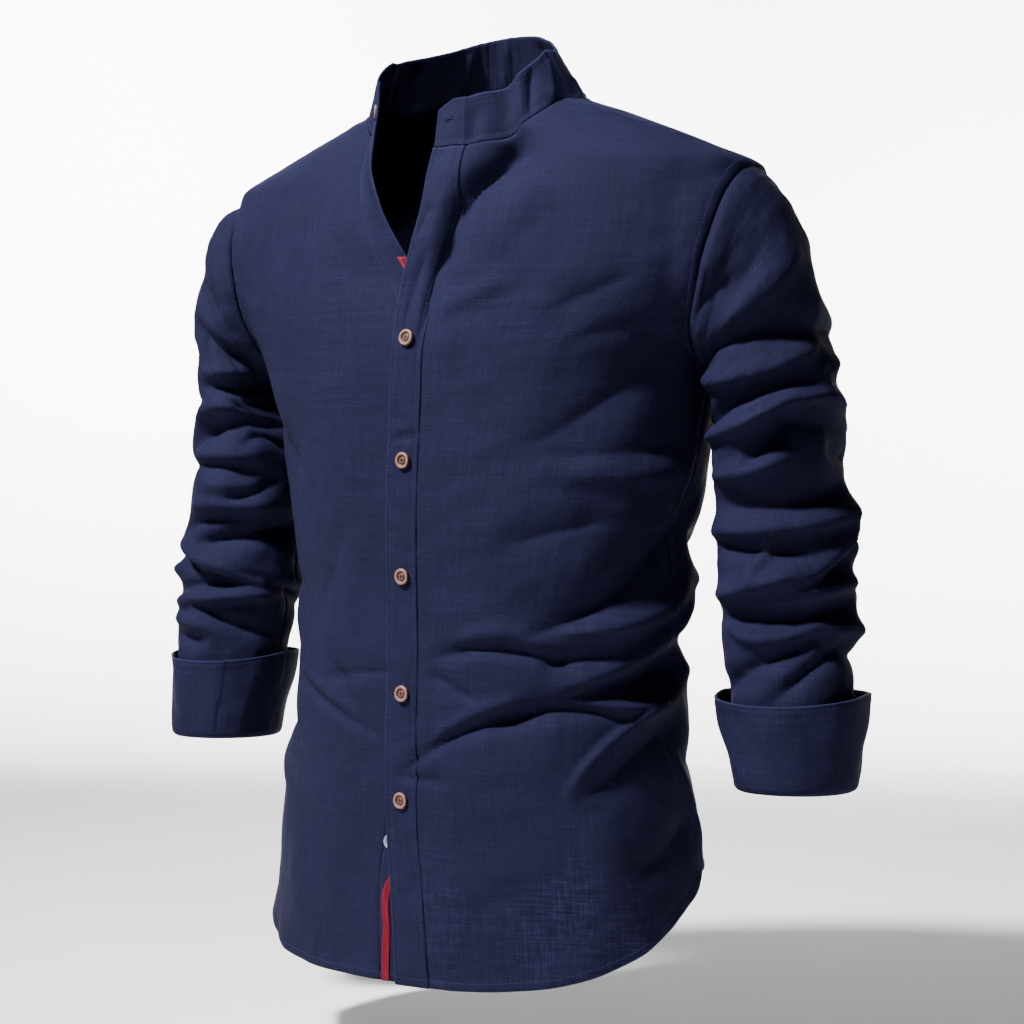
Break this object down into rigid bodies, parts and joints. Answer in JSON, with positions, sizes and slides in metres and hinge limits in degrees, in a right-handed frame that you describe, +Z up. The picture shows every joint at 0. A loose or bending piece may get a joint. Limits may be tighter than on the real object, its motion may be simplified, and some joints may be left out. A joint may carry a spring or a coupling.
{
  "type": "mandarin collar shirt",
  "caption": "Long-sleeved band collar shirt in dark blue cotton and linen, filled out as worn, with an open neck, wooden buttons, a shirt-tail hem and turned-back cuffs",
  "frame": {"origin": "midway between the two side neck points, where the shoulders carry the shirt", "axes": "+Z up; the front faces -Y; the wearer's left is +X"},
  "size_m": [0.6274, 0.2433, 0.7487],
  "materials": {
    "cloth": "dark blue slubbed cotton and linen weave",
    "tape": "red woven tape",
    "label": "plain grey woven label",
    "wood": "pinkish brown turned wood",
    "pale_button": "pale lavender resin"
  },
  "bodies": {
    "root": {"front_left": "cloth", "front_right": "cloth", "back": "cloth", "yoke": "cloth", "band_left": "cloth", "band_right": "cloth", "collar": "cloth", "sleeve_left": "cloth", "sleeve_right": "cloth", "cuff_left": "cloth", "cuff_right": "cloth", "tape": "tape", "label": "label", "button_1": "wood", "button_2": "wood", "button_3": "wood", "button_4": "wood", "button_5": "wood", "button_collar": "wood", "button_hem": "pale_button"}
  },
  "joints": []
}
